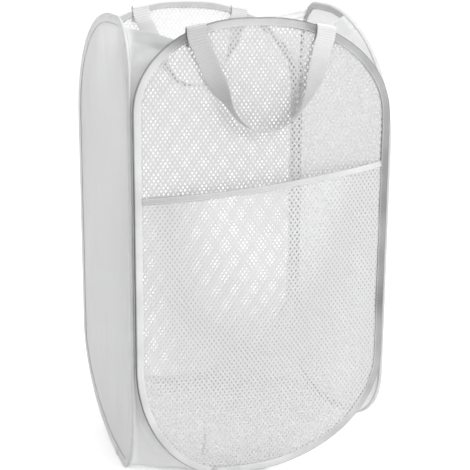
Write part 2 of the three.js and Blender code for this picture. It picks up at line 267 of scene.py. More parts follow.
class Graph:
    """A node tree, and the one way in which its nodes are made"""

    def __init__(self, tree):
        self.tree = tree

    def feed(self, socket, value):
        """Links a signal to a socket, or sets the socket to a value"""
        if isinstance(value, Signal):
            self.tree.links.new(value.socket, socket)
        else:
            socket.default_value = value

    def make(self, kind, settings=None, sockets=None, output=0):
        """Any node, and the signal of one of its outputs"""
        node = self.tree.nodes.new(kind)
        for name, value in (settings or {}).items():
            setattr(node, name, value)
        for name, value in (sockets or {}).items():
            self.feed(node.inputs[name], value)
        return Signal(self, node.outputs[output]) if len(node.outputs) else node

    def geometry(self, kind, sockets, **settings):
        """A Geometry node"""
        return self.make("GeometryNode" + kind, settings, sockets)

    def vector(self, x, y, z):
        """Three signals or numbers as one vector"""
        return self.make("ShaderNodeCombineXYZ", {}, {"X": x, "Y": y, "Z": z})


print("sockets can be added, multiplied and limited")

# %% [markdown]
# ## Cloth and metal
# The photograph shows four finishes: a satin grey tape, white knitted net, thin grey nylon and ribbed
# webbing. A woven cloth is two crossed sets of threads, so its height is made from two sine waves on the
# piece's own UV map, which is in metres along the cloth. Larger stains of light and dark come from noise on
# Object coordinates. Where a piece lies in shade or catches the light in the photograph, its points carry a
# tone, the attribute `shade`. All of these only feed Base Color, Roughness and a Bump node. Thin cloth
# also glows with the light behind it, so it is a mix of a Principled and a Translucent shader in a fixed share.

# %% Helpers for finishes
def new_finish(name):
    """An empty material and the graph of its nodes"""
    material = bpy.data.materials.new(name)
    material.use_nodes = True
    material.node_tree.nodes.clear()
    return material, Graph(material.node_tree)


def blotches(graph, size, detail=3.0, rough=0.55):
    """Soft noise in the place of the piece, about size metres wide"""
    place = graph.make("ShaderNodeTexCoord").of("Object")
    sockets = {"Vector": place, "Scale": 1 / size, "Detail": detail, "Roughness": rough}
    return graph.make("ShaderNodeTexNoise", {}, sockets)


def cloth_place(graph):
    """Metres across and along the cloth"""
    place = graph.make("ShaderNodeUVMap", {"uv_map": "cloth"})
    split = graph.make("ShaderNodeSeparateXYZ", {}, {"Vector": place})
    return split.of("X"), split.of("Y")


def shade_of(graph):
    """The tone that the piece's points carry"""
    return graph.make("ShaderNodeAttribute", {"attribute_name": "shade"}).of("Fac")


def mixed(graph, share, dark, light):
    """A colour between two colours"""
    sockets = {0: share, 6: (*dark, 1), 7: (*light, 1)}
    return graph.make("ShaderNodeMix", {"data_type": "RGBA"}, sockets, output=2)


def surface(graph, sockets, height=None, relief=0.0, glow=0.0, tint=0.8):
    """The shader and its output; glow is the share of light that comes through, and tint its tone"""
    if height is not None:
        bump = {"Height": height, "Distance": relief, "Strength": 1.0}
        sockets = {**sockets, "Normal": graph.make("ShaderNodeBump", {}, bump)}
    shader = graph.make("ShaderNodeBsdfPrincipled", {}, sockets)
    if glow:
        through = graph.make("ShaderNodeBsdfTranslucent", {}, {"Color": (*grey(tint), 1)})
        shader = graph.make("ShaderNodeMixShader", {}, {0: glow, 1: shader, 2: through})
    graph.make("ShaderNodeOutputMaterial", {}, {"Surface": shader})


def grey(level, warmth=0.0):
    """A grey, a little towards blue if its warmth is below 0"""
    return (level * (1 + warmth), level, level * (1 - warmth))


# %% Spring wire and its crimped sleeve
def drawn_steel(name, level, roughness):
    """Drawn steel: fine lines along the wire's way and darker patches"""
    material, graph = new_finish(name)
    patches, lines = blotches(graph, 0.018), blotches(graph, 0.0007, 2.0)
    sockets = {
        "Base Color": mixed(graph, patches, grey(level * 0.72), grey(level)),
        "Metallic": 1.0,
        "Roughness": roughness + 0.18 * lines,
    }
    surface(graph, sockets, lines, 0.00005)
    return material


wire_steel = drawn_steel("spring_wire", 0.55, 0.28)
sleeve_steel = drawn_steel("crimped_sleeve", 0.68, 0.34)
print(wire_steel.name, "and", sleeve_steel.name)

# %% Binding tape
def satin_tape(name, dark, light, glow=0.20):
    """A tight satin weave: slanting ribs half a millimetre apart, creases across, soft wear"""
    material, graph = new_finish(name)
    along, across = cloth_place(graph)
    ribs, threads = (along + across).wave(0.0011), across.wave(0.0006)
    creases, wear = blotches(graph, 0.009, 4.0), blotches(graph, 0.06, 2.0)
    tone = (shade_of(graph) + 0.14 * wear + 0.14 * creases + 0.03 * ribs - 0.14).limited()
    sockets = {
        "Base Color": mixed(graph, tone, dark, light),
        "Roughness": 0.42 + 0.22 * creases,
        "Sheen Weight": 0.25,
        "Sheen Roughness": 0.4,
    }
    surface(graph, sockets, ribs * 0.5 + threads * 0.35 + creases * 1.6, 0.00022, glow, 0.7)
    return material


# The same satin tape in two copies: the paler one, for the back and right hoops, is painted light
tape_finish = satin_tape("grey_binding_tape", grey(0.08, -0.006), grey(0.84, -0.004))
lit_tape_finish = satin_tape("lit_binding_tape", grey(0.30, -0.004), grey(0.96, -0.002), 0.36)
print(tape_finish.name, "and", lit_tape_finish.name)

# %% White net
def knitted_yarn(name, level, glow):
    """Bright knitted yarn: tiny loops along each strand, a little greyer where it is handled"""
    material, graph = new_finish(name)
    place = graph.make("ShaderNodeTexCoord").of("Object")
    split = graph.make("ShaderNodeSeparateXYZ", {}, {"Vector": place})
    loops = split.of("Z").wave(0.0009) * split.of("X").wave(0.0008)
    dust = blotches(graph, 0.12, 3.0)
    sockets = {
        "Base Color": mixed(graph, (dust + 0.08 * loops).limited(), grey(level * 0.92), grey(level)),
        "Roughness": 0.62 + 0.15 * dust,
        "Sheen Weight": 0.2,
        "Sheen Roughness": 0.5,
    }
    surface(graph, sockets, loops, 0.0002, glow, level)
    return material


# One white yarn in three copies: the back net's and the pocket's copies are paler and more translucent, as
# painted light
net_finish = knitted_yarn("white_net", 0.80, 0.52)
lit_back_net_finish = knitted_yarn("lit_back_white_net", 0.945, 0.76)
lit_pocket_net_finish = knitted_yarn("lit_pocket_white_net", 0.93, 0.60)
print(net_finish.name, lit_back_net_finish.name, "and", lit_pocket_net_finish.name)

# %% Grey nylon
def thin_nylon(name, dark, light, ripple_size, glow=0.7, tint=0.88):
    """Thin plain-woven nylon: a fine grid of threads, long soft ripples and slight gloss"""
    material, graph = new_finish(name)
    across, along = cloth_place(graph)
    weft, warp = along.wave(0.0010), across.wave(0.0010)
    slub, ripples = blotches(graph, 0.004, 4.0), blotches(graph, ripple_size, 3.0)
    tone = (shade_of(graph) + 0.25 * ripples + 0.10 * slub + 0.03 * weft - 0.18).limited()
    sockets = {
        "Base Color": mixed(graph, tone, dark, light),
        "Roughness": 0.50 + 0.16 * slub,
        "Sheen Weight": 0.15,
        "Sheen Roughness": 0.45,
    }
    surface(graph, sockets, weft * 0.4 + warp * 0.4 + slub * 1.2, 0.00018, glow, tint)
    return material


# One grey nylon in three copies: the front left gusset's copy is darker, as painted shade, and the other
# corners' copy is paler and more translucent, as painted light
side_finish = thin_nylon("side_nylon", grey(0.50, -0.004), grey(0.90, -0.004), 0.16)
shaded_gusset_finish = thin_nylon("gusset_nylon", grey(0.34, -0.004), grey(0.94, -0.004), 0.05)
lit_corner_finish = thin_nylon("lit_gusset_nylon", grey(0.50, -0.004), grey(0.95, -0.004), 0.05, 0.84, 0.95)
print(side_finish.name, shaded_gusset_finish.name, "and", lit_corner_finish.name)

# %% Ribbed webbing and sewing thread
def webbing_weave(name):
    """Flat webbing: its ribs are in the mesh, with painted shade in their grooves, and the finish adds fine
    threads
    """
    material, graph = new_finish(name)
    across, along = cloth_place(graph)
    threads = (across * (2 * math.pi / 0.0012) + along.wave(0.0028)).wave()
    fuzz, handled = blotches(graph, 0.0016, 4.0), blotches(graph, 0.05, 2.0)
    tone = (shade_of(graph) + 0.16 * handled + 0.10 * fuzz + 0.04 * threads - 0.12).limited()
    sockets = {
        "Base Color": mixed(graph, tone, grey(0.30), grey(0.88)),
        "Roughness": 0.62 + 0.2 * fuzz,
        "Sheen Weight": 0.3,
        "Sheen Roughness": 0.4,
    }
    surface(graph, sockets, threads + fuzz * 0.8, 0.00018, 0.2, 0.6)
    return material


def sewing_thread(name, dark, light):
    """A twisted thread with a slight shine"""
    material, graph = new_finish(name)
    twist = blotches(graph, 0.0006, 2.0)
    sockets = {
        "Base Color": mixed(graph, twist, grey(dark), grey(light)),
        "Roughness": 0.4 + 0.2 * twist,
    }
    surface(graph, sockets, twist, 0.00008)
    return material


webbing_finish = webbing_weave("ribbed_webbing")
thread_finish = sewing_thread("sewing_thread", 0.62, 0.82)
tack_finish = sewing_thread("grey_tack_thread", 0.34, 0.50)
print(webbing_finish.name, thread_finish.name, "and", tack_finish.name)

# %% [markdown]
# ## Metal that stays
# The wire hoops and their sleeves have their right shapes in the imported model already. They only get their
# finish, in the material slots of their objects, and their meshes are left alone.

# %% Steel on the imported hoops
for wall in walls:
    for node, finish in ((wall + "_wire_hoop", wire_steel), (wall + "_wire_ferrule", sleeve_steel)):
        for material_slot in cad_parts[node].material_slots:
            material_slot.link = "OBJECT"
            material_slot.material = finish
print("steel on", 2 * len(walls), "nodes")

# %% [markdown]
# ## Cloth from grids of points
# A tape, a strap or a panel is a grid of points: one way runs along the cloth and the other across it. Each
# is given to Blender as a mesh with its UV map in metres, so that a weave keeps its size on all of them.
# A flat panel is a single layer at first, and the Solidify modifier gives it its thickness. Waves of cloth
# come from `ripple`, a sum of a few sine waves with a fixed seed, so that every run makes the same folds.

# %% Meshes of cloth
def lengths_along(points):
    """Metres from the start, averaged over the rows of a grid"""
    steps = np.linalg.norm(np.diff(points, axis=0), axis=2).mean(axis=1)
    return np.concatenate([[0], np.cumsum(steps)])


def cloth_mesh(name, points, finish, ring=False, uv=None):
    """A grid of points (along, across, 3) as a mesh; a ring closes on itself and is capped at its ends"""
    rows, columns = points.shape[:2]
    order = np.arange(rows * columns).reshape(rows, columns)
    if ring:
        order = np.concatenate([order, order[:, :1]], axis=1)
    corners = np.stack([order[:-1, :-1], order[:-1, 1:], order[1:, 1:], order[1:, :-1]], axis=-1)
    faces = [tuple(face) for face in corners.reshape(-1, 4).tolist()]
    caps = [tuple(order[0, :-1].tolist()[::-1]), tuple(order[-1, :-1].tolist())] if ring else []
    mesh = bpy.data.meshes.new(name)
    mesh.from_pydata(points.reshape(-1, 3).tolist(), [], faces + caps)
    if uv is None:
        looped = np.concatenate([points, points[:, :1]], axis=1) if ring else points
        across = lengths_along(looped.transpose(1, 0, 2))
        uv = np.stack(np.meshgrid(across, lengths_along(points)), axis=-1)
    layer = mesh.uv_layers.new(name="cloth")
    table = np.stack([uv[:-1, :-1], uv[:-1, 1:], uv[1:, 1:], uv[1:, :-1]], axis=2).reshape(-1, 2)
    table = np.concatenate([table, np.zeros((sum(map(len, caps)), 2))])
    layer.data.foreach_set("uv", table.astype(np.float32).ravel())
    mesh.materials.append(finish)
    mesh.polygons.foreach_set("use_smooth", [True] * len(faces) + [False] * len(caps))
    if ring:
        shell = bmesh.new()
        shell.from_mesh(mesh)
        bmesh.ops.recalc_face_normals(shell, faces=shell.faces)
        shell.to_mesh(mesh)
        shell.free()
    return added(name, mesh)


def shaded(piece, tones):
    """Gives each point its tone of painted light and shade, from 0, dark, to 1, light, for the finish to read
    """
    layer = piece.data.attributes.new("shade", "FLOAT", "POINT")
    layer.data.foreach_set("value", np.asarray(tones, np.float32).ravel())
    return piece


def settled(piece):
    """The piece as its modifiers leave it, as a plain mesh with none"""
    graph = bpy.context.evaluated_depsgraph_get()
    graph.update()
    finished = bpy.data.meshes.new_from_object(
        piece.evaluated_get(graph), preserve_all_data_layers=True, depsgraph=graph
    )
    piece.modifiers.clear()
    piece.data = finished
    return piece


def thickened(piece, thickness):
    """A single layer made a thin closed sheet, half its thickness to each side"""
    solid = piece.modifiers.new("thickness", "SOLIDIFY")
    solid.thickness = thickness
    solid.offset = 0
    return settled(piece)


def faces_of(piece):
    """What a cell prints about a piece"""
    return piece.name, len(piece.data.polygons), "faces"


def placed(piece, body, node):
    """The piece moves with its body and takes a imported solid's place"""
    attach(piece, body)
    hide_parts(node)


def read_off(table, places):
    """Values at the places, read off (place, value) pairs with straight lines between them"""
    return np.interp(places, *np.array(table).T)


def smooth(low, high, value):
    """0 below low, 1 above high, and an even curve between"""
    share = np.clip((np.asarray(value, float) - low) / (high - low), 0, 1)
    return share * share * (3 - 2 * share)


def ripple(*places, seed=0, waves=6, spread=1.0):
    """Soft noise between about -1 and 1: a few sine waves of mixed directions over the given places"""
    random = np.random.default_rng(seed)
    total = np.zeros(np.broadcast(*places).shape)
    for _ in range(waves):
        directions = random.normal(0, spread, len(places))
        phase = sum(step * place for step, place in zip(directions, places))
        total = total + np.sin(2 * math.pi * (phase + random.random()))
    return total / math.sqrt(waves)


print("grids, layers and ripples are ready")

# %% [markdown]
# ## Stitches
# Every seam on the hamper is a row of short stitches. One Geometry Nodes tree makes them all: it takes the
# line of a seam, sets points along it at the stitch pitch, turns a small long bead along the line at each
# one and makes the copies real. The bead has few faces, because it is repeated thousands of times.

# %% The tree that sews
def new_tree(name, inputs, output):
    """An empty Geometry Nodes tree with named inputs: the tree, its graph, and its inputs by name"""
    tree = bpy.data.node_groups.new(name, "GeometryNodeTree")
    for socket, kind in inputs.items():
        tree.interface.new_socket(socket, in_out="INPUT", socket_type="NodeSocket" + kind)
    tree.interface.new_socket(output, in_out="OUTPUT", socket_type="NodeSocketGeometry")
    graph = Graph(tree)
    return tree, graph, graph.make("NodeGroupInput").of


def sewing_tree():
    """Seam line in, stitches out"""
    inputs = {
        "Seam": "Geometry", "Pitch": "Float", "Length": "Float", "Thickness": "Float", "Thread": "Material",
    }
    tree, graph, given = new_tree("stitches", inputs, "Stitches")
    line = graph.geometry("MeshToCurve", {"Mesh": given("Seam")})
    points = graph.geometry("ResampleCurve", {"Curve": line, "Length": given("Pitch")}, mode="LENGTH")
    tangent = graph.geometry("InputTangent", {})
    turn = graph.make("FunctionNodeAlignRotationToVector", {"axis": "Z"}, {"Vector": tangent})
    bead = graph.geometry("MeshUVSphere", {"Segments": 5, "Rings": 4, "Radius": 0.5})
    size = graph.vector(given("Thickness"), given("Thickness"), given("Length"))
    sockets = {"Points": points, "Instance": bead, "Rotation": turn, "Scale": size}
    copies = graph.geometry("InstanceOnPoints", sockets)
    real = graph.geometry("RealizeInstances", {"Geometry": copies})
    coloured = graph.geometry("SetMaterial", {"Geometry": real, "Material": given("Thread")})
    graph.make("NodeGroupOutput", {}, {"Stitches": coloured})
    return tree


def set_inputs(modifier, **values):
    """Sets a tree's named inputs through their identifiers"""
    names = {item.name: item.identifier for item in modifier.node_group.interface.items_tree}
    for name, value in values.items():
        modifier[names[name.replace("_", " ")]] = value


sewing = sewing_tree()


def sewn(name, seams, pitch=0.004, length=0.0029, thickness=0.00055, thread=thread_finish):
    """Stitches along several lines of points"""
    points = np.concatenate(seams)
    starts = np.cumsum([0] + [len(seam) for seam in seams])
    edges = [(i, i + 1) for low, high in zip(starts, starts[1:]) for i in range(low, high - 1)]
    mesh = bpy.data.meshes.new(name)
    mesh.from_pydata(points.tolist(), edges, [])
    piece = added(name, mesh)
    modifier = piece.modifiers.new("stitches", "NODES")
    modifier.node_group = sewing
    set_inputs(modifier, Pitch=pitch, Length=length, Thickness=thickness, Thread=thread)
    settled(piece)
    piece.data.polygons.foreach_set("use_smooth", [True] * len(piece.data.polygons))
    return piece


fine_stitches = {"pitch": 0.0034, "length": 0.0024}
print("the sewing tree has", len(sewing.nodes), "nodes")

# %% [markdown]
# ## Edge tapes
# Each wire lies in a folded tape, a channel whose two legs grip the edge of the panel. It could be a curve
# with a bevel profile, but cloth tape also puckers where the hoop turns tightly. So its section is
# swept in code: the legs' edges wave a little, more so in the tight corners, and the last centimetre laps
# over the first at the bottom. The photographed tape goes from pale to dark round a hoop, and is darkest on
# its fold over the wire. This light and shade is painted into the tape's colour: two tables hold these
# painted tones against the share of the way round.

# %% The section of a tape
def tape_section():
    """(out from the wire, out of the wall) round the channel: its outside, then back along its inside"""
    lip = slot_half + tape_cloth
    angles = np.radians(np.linspace(118, 0, 7))
    outside = [(-tape_leg, lip), (-0.0068, lip + 0.0002), (-0.0046, lip + 0.0006), (-0.0026, 0.0024)]
    outside += [(tape_fold * math.cos(a), tape_fold * math.sin(a)) for a in angles]
    room = tape_fold - tape_cloth
    inside = [(-tape_leg, slot_half), (-0.0066, slot_half + 0.0002), (-0.0042, slot_half + 0.0006)]
    inside += [(-0.0022, 0.0016)] + [(room * math.cos(a), room * math.sin(a)) for a in angles]
    mirrored = lambda spots: [(out, -side) for out, side in spots[-2::-1]]
    ring = outside + mirrored(outside)
    back = inside + mirrored(inside)
    return np.array(ring + back[::-1])


section = tape_section()
tape_joint = {"face": -0.03645, "side": side_corners["bottom_left"][0] - half + 0.008}
print(len(section), "points round a tape")

# %% Four taped hoops
# The share of the way round each hoop from the bottom joint, with the tape's tone there: painted light and
# shade, darker where shade falls, as beside the straps, and paler where light falls
tape_light_and_shade = {
    "front": (
        (0.0, 0.78), (0.05, 0.78), (0.10, 0.66), (0.16, 0.43), (0.22, 0.28), (0.36, 0.28), (0.40, 0.44),
        (0.457, 0.49), (0.475, 0.24), (0.482, 0.34), (0.488, 0.58), (0.53, 0.63), (0.565, 0.70), (0.575, 0.24),
        (0.586, 0.26), (0.592, 0.38), (0.600, 0.61), (0.62, 0.71), (0.66, 0.75), (0.85, 0.75), (0.9745, 0.76),
        (0.9765, 0.33), (0.979, 0.58), (0.983, 0.76), (1.0, 0.76),
    ),
    "left": ((0.0, 0.85), (0.5, 0.88), (1.0, 0.85)),
    "right": ((0.0, 0.70), (0.20, 0.72), (0.45, 0.84), (0.55, 0.90), (0.64, 1.0), (1.0, 1.0)),
    "back": ((0.0, 1.0), (0.40, 1.0), (0.47, 0.88), (0.58, 0.88), (0.64, 1.0), (1.0, 1.0)),
}

# How much darker the fold over the wire is painted there: painted shade on the fold
rim_painted_shade = {
    "front": (
        (0.0, 0.55), (0.20, 0.50), (0.45, 0.80), (0.64, 0.72), (0.70, 1.0), (0.88, 1.0), (0.96, 0.6),
        (1.0, 0.55),
    ),
    "left": ((0.0, 0.35), (1.0, 0.35)),
    "right": ((0.0, 0.30), (1.0, 0.30)),
    "back": ((0.0, 0.15), (1.0, 0.15)),
}


tape_lap, lap_rise, tape_step = 0.012, 0.003, 0.0036
edge_wave, edge_gap, fold_crease = 0.00045, 0.00012, 0.00008
pucker_height, pucker_pitch = 0.00022, 0.0074
seam_inset, thread_proud = 0.0066, 0.0005


def taped(wall):
    """A wall's tape and the stitches on its two legs"""
    corners = walls[wall][1]
    start = tape_joint["side" if wall in ("left", "right") else "face"]
    line, outward = hoop_line(corners, start, tape_lap, tape_step)
    run = np.arange(len(line)) * tape_step
    turning = np.linalg.norm(np.gradient(outward, axis=0), axis=1) / tape_step
    tight = np.clip(turning * 0.09, 0.15, 1.2)[:, None]
    seed = len(wall)
    leg_share = smooth(0, tape_leg, -section[:, 0])[None, :]
    side = np.sign(section[:, 1])[None, :]
    pucker = np.sin(run * 2 * math.pi / pucker_pitch + 2.2 * np.sin(run * 41 + seed))[:, None]
    slack = ripple(run[:, None] * 9, side * 0.7, seed=seed)
    out = section[None, :, 0] + leg_share * edge_wave * slack
    puckered = pucker_height * pucker * tight + edge_gap * (1 + slack)
    across = section[None, :, 1] + side * leg_share * puckered
    crease = fold_crease * ripple(run[:, None] * 60, section[None, :, 1] * 300, seed=seed + 9)
    lapped = smooth(run[-1] - tape_lap, run[-1] - tape_lap + lap_rise, run)[:, None]
    outer = (np.abs(section[:, 1]) > 0)[None, :] * tape_cloth * lapped
    out = out + (crease + outer) * (section[None, :, 0] > -0.003)
    across = across + side * outer
    flat = line[:, None, :] + outward[:, None, :] * out[..., None]
    points = on_wall(wall, flat[..., 0], across, flat[..., 1])
    # The back and right hoops take the paler copy of the tape, as painted light
    finish = lit_tape_finish if wall in ("back", "right") else tape_finish
    tape = cloth_mesh(wall + "_tape", points, finish, ring=True)
    # The tone round the hoop is painted light and shade
    way = read_off(tape_light_and_shade[wall], run / run[-1])[:, None]
    # The fold over the wire is painted darker, as painted shade
    rim = (smooth(0.0004, 0.0021, section[:, 0]) * smooth(-0.0015, 0.0, section[:, 1]))[None, :]
    darker = read_off(rim_painted_shade[wall], run / run[-1])[:, None]
    # The legs are painted a little lighter, as painted light, and the tone follows the legs' waviness, as
    # painted shade
    shaded(tape, way * (1 - darker * rim) + 0.05 * slack * (1 - rim) + 0.12 * leg_share * way)
    placed(tape, wall, wall + "_edge_tape")
    across, up = (line - outward * seam_inset).T
    reach = slot_half + tape_cloth + thread_proud
    stitches = sewn(wall + "_tape_stitches", [on_wall(wall, across, face * reach, up) for face in (-1, 1)])
    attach(stitches, wall)
    return tape, stitches


for wall in walls:
    tape, stitches = taped(wall)
    print(*faces_of(tape), "and", *faces_of(stitches))

# %% [markdown]
# ## Net
# The front, the back and the pocket are knitted net with staggered upright diamond holes. An image could only
# paint the holes, but here one sees through two layers of net at once, so every hole is real. The Geometry
# Nodes tree turns a grid by 45 degrees and stretches it to the knit's pitch, so that its squares are
# diamonds. It keeps those over the panel, pulls the outermost points onto the panel's edge, then shrinks
# a copy of each diamond and takes it out. A soft slack is added last. All nets count their diamonds from
# one shared point, so that two layers stay in step and don't show broad bands where they overlap.

# %% The tree that knits
def net_tree():
    """Panel in, net out"""
    inputs = {
        "Panel": "Geometry", "Pitch Across": "Float", "Pitch Up": "Float", "Hole Share": "Float", "Rows": "Int",
        "Middle": "Vector", "Stretch": "Float", "Slack": "Float", "Yarn": "Material",
    }
    tree, graph, given = new_tree("net", inputs, "Net")

    # A grid of squares, turned, stretched to the pitch and stood up
    rows = given("Rows")
    sockets = {"Size X": rows, "Size Y": rows, "Vertices X": rows + 1, "Vertices Y": rows + 1}
    grid = graph.geometry("MeshGrid", sockets)
    turned = graph.geometry("Transform", {"Geometry": grid, "Rotation": (0, 0, math.pi / 4)})
    share = 1 / math.sqrt(2)
    size = graph.vector(given("Pitch Across") * share, given("Pitch Up") * share, 1.0)
    stretched = graph.geometry("Transform", {"Geometry": turned, "Scale": size})
    sockets = {"Geometry": stretched, "Translation": given("Middle"), "Rotation": (math.pi / 2, 0, 0)}
    stood = graph.geometry("Transform", sockets)

    # Slow noise pulls the rows a little out of line
    pull = graph.make("ShaderNodeTexNoise", {}, {"Scale": 6.0, "Detail": 1.5, "Roughness": 0.5}, output=1)
    centred = graph.make("ShaderNodeVectorMath", {"operation": "SUBTRACT"}, {0: pull, 1: (0.5, 0.5, 0.5)})
    amount = graph.vector(given("Stretch"), 0.0, given("Stretch"))
    pulled = graph.make("ShaderNodeVectorMath", {"operation": "MULTIPLY"}, {0: centred, 1: amount})
    stood = graph.geometry("SetPosition", {"Geometry": stood, "Offset": pulled})

    # What lies over the panel stays, and its outermost points go onto the panel's edge
    panel = given("Panel")
    nearest = graph.geometry("Proximity", {0: panel}, target_element="FACES")
    away = nearest.of("Distance").math("GREATER_THAN", 0.002)
    kept = graph.geometry("DeleteGeometry", {"Geometry": stood, "Selection": away}, domain="FACE")
    fitted = graph.geometry("SetPosition", {"Geometry": kept, "Position": nearest.of("Position")})

    # A smaller copy of each diamond is its hole
    sockets = {"Mesh": fitted, "Offset Scale": 0.0, "Individual": True}
    cells = graph.geometry("ExtrudeMesh", sockets, mode="FACES")
    top = cells.of("Top")
    sockets = {"Geometry": cells, "Selection": top, "Scale": given("Hole Share")}
    shrunk = graph.geometry("ScaleElements", sockets, domain="FACE")
    holed = graph.geometry("DeleteGeometry", {"Geometry": shrunk, "Selection": top}, domain="FACE")

    # Soft slack, out of the panel's plane and less near its edge
    edge = graph.geometry("Proximity", {0: panel}, target_element="EDGES")
    sockets = {0: edge.of("Distance"), 1: 0.002, 2: 0.05, 3: 0.0, 4: 1.0}
    inner = graph.make("ShaderNodeMapRange", {"interpolation_type": "SMOOTHSTEP"}, sockets)
    noise = graph.make("ShaderNodeTexNoise", {}, {"Scale": 7.0, "Detail": 1.0, "Roughness": 0.4})
    offset = graph.vector(0.0, (noise - 0.42) * inner * given("Slack"), 0.0)
    slack = graph.geometry("SetPosition", {"Geometry": holed, "Offset": offset})
    coloured = graph.geometry("SetMaterial", {"Geometry": slack, "Material": given("Yarn")})
    real = graph.geometry("RealizeInstances", {"Geometry": coloured})
    graph.make("NodeGroupOutput", {}, {"Net": real})
    return tree


knitting = net_tree()
print("the net tree has", len(knitting.nodes), "nodes")

# %% Outlines of the walls
def wall_outline(corners, inset, steps=24):
    """Points (across, up) once round a wall, inset from its wire"""
    points = []
    for quarter, (corner, side, level) in enumerate(turns):
        across, up = np.array(corners[corner]) - inset
        angle = (quarter - 1 + np.linspace(0, 1, steps)) * math.pi / 2
        x, z = side * (half - inset - across), (top - inset - up) if level > 0 else bottom + inset + up
        points.append(points_of(x + across * np.cos(angle), z + up * np.sin(angle)))
    return np.concatenate(points)


net_pitch = np.array((0.0062, 0.0088))
net_start = np.array((0.0, 0.30))
net_stretch = 0.004
net_thickness = 0.00045
panel_inset = 0.0052


def knitted(name, outline, slack, yarn, hole_share=0.56, scale=1.0, shift=(0.0, 0.0)):
    """A net over an outline, in the plane y = 0, as a plain mesh; its knit counts from net_start plus shift"""
    mesh = bpy.data.meshes.new(name)
    mesh.from_pydata([(x, 0, z) for x, z in outline], [], [tuple(range(len(outline)))])
    piece = added(name, mesh)
    low, high = outline.min(axis=0), outline.max(axis=0)
    across, up = pitch = net_pitch * scale
    start = net_start + shift
    centre = start + np.round(((low + high) / 2 - start) / pitch) * pitch
    rows = math.ceil((high[0] - low[0]) / across + (high[1] - low[1]) / up) + 4
    modifier = piece.modifiers.new("net", "NODES")
    modifier.node_group = knitting
    set_inputs(
        modifier, Pitch_Across=across, Pitch_Up=up, Hole_Share=hole_share, Rows=rows,
        Middle=(centre[0], 0.0, centre[1]), Stretch=net_stretch, Slack=slack, Yarn=yarn,
    )
    return thickened(piece, net_thickness)


print("a wall's outline has", len(wall_outline(face_corners, panel_inset)), "points")

# %% Points of a mesh as a table
def read_points(piece):
    """The places of a mesh's points, one a row"""
    table = np.empty(len(piece.data.vertices) * 3, np.float32)
    piece.data.vertices.foreach_get("co", table)
    return table.reshape(-1, 3).astype(float)


def write_points(piece, points):
    """Moves a mesh's points to new places"""
    piece.data.vertices.foreach_set("co", points.astype(np.float32).ravel())
    piece.data.update()


def flat_sheet(piece, outline, held, tapes, **others):
    """Makes the names of the tapes that hold a piece, and does nothing with them"""
    [wall + "_tape" for wall in tapes]


# %% Front and back nets
wall_slack = 0.006
for wall, yarn in (("front", net_finish), ("back", lit_back_net_finish)):
    outline = wall_outline(walls[wall][1], panel_inset)
    net = knitted(wall + "_knitted_net", outline, wall_slack, yarn)
    across, depth, up = read_points(net).T
    write_points(net, on_wall(wall, across, -depth, up))
    placed(net, wall, wall + "_net")
    flat_sheet(net, outline, "stretched", [wall])
    print(*faces_of(net))

# %% [markdown]
# ## Pocket
# A second piece of net is sewn to the lower front with a hem along its upper edge. The same tree knits it,
# a little finer and shifted, so that its holes meet those of the front net only in part of the pocket. Then
# every point is moved out from the wall, most at the middle of the hem and not at all at the edges, which
# gives the slack pocket of the photograph.

# %% The pocket's shape
pocket_reach = half - tape_leg - 0.0003
hem_height = 0.0085
hem_ends = (0.3885, 0.4205)
hem_sag = 0.0045
pocket_belly = 0.014


def pocket_top(across):
    """The height of the hem's upper edge, which slants and sags"""
    share = across / pocket_reach
    level, slope = sum(hem_ends) / 2, (hem_ends[1] - hem_ends[0]) / 2
    return level + slope * share - hem_sag * (1 - share**2)


def pocket_out(across, up):
    """How far the pocket stands out from the wall's middle"""
    share = np.clip(np.abs(across) / pocket_reach, 0, 1)
    rise = np.clip((up - bottom) / (pocket_top(across) - bottom), 0, 1)
    return slot_half + tape_cloth / 2 + pocket_belly * (1 - share**2) * rise


# %% The pocket's net and hem
pocket_slack, hem_lap = 0.004, 0.002
pocket_split, straight_from = -0.04, 0.3
outline = wall_outline(face_corners, tape_leg - hem_lap)
outline = outline[outline[:, 1] < straight_from]
right_side, left_side = outline[outline[:, 0] > pocket_split], outline[outline[:, 0] <= pocket_split]
edge = np.linspace(right_side[-1, 0], left_side[0, 0], 40)
upper = np.stack([edge, pocket_top(edge) - hem_height + hem_lap], axis=1)
pocket_outline = np.concatenate([right_side, upper, left_side])
pocket = knitted(
    "pocket_knitted_net", pocket_outline, pocket_slack, lit_pocket_net_finish,
    hole_share=0.52, scale=0.993, shift=(-0.0010, 0.0037),
)
across, depth, up = read_points(pocket).T
out = np.clip(pocket_out(across, up) - depth, slot_half + 0.0003, None)
write_points(pocket, on_wall("front", across, out, up))

hem_reach, hem_thickness, hem_wave, thread_out = pocket_reach + 0.001, 0.0011, 0.00035, 0.0008
# The pocket hem is painted darker at its left and paler at its right: painted light and shade
hem_light_and_shade = ((-0.15, 0.54), (-0.02, 0.66), (0.12, 0.81))
across = np.linspace(-hem_reach, hem_reach, 150)
rise = np.linspace(0, 1, 7)
up = pocket_top(across)[:, None] - hem_height * (1 - rise)[None, :]
wavy = hem_wave * ripple(across[:, None] * 22, rise[None, :] * 0.8, seed=4)
hem_points = on_wall("front", across[:, None], pocket_out(across[:, None], up) + wavy, up)
hem = cloth_mesh("pocket_hem", hem_points, tape_finish)
hem = thickened(shaded(hem, read_off(hem_light_and_shade, across)[:, None] + 0 * up), hem_thickness)
rows = []
for share in (0.16, 0.84):
    height = pocket_top(across) - hem_height * (1 - share)
    for face in (-1, 1):
        rows.append(on_wall("front", across, pocket_out(across, height) + face * thread_out, height))
hem_stitches = sewn("pocket_hem_stitches", rows, **fine_stitches)
placed(pocket, "front", "front_pocket_net")
placed(hem, "front", "front_pocket_hem")
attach(hem_stitches, "front")
flat_sheet(pocket, pocket_outline, "hung", ["front"], with_pieces=[hem, hem_stitches])
print(*faces_of(pocket), "and", *faces_of(hem))

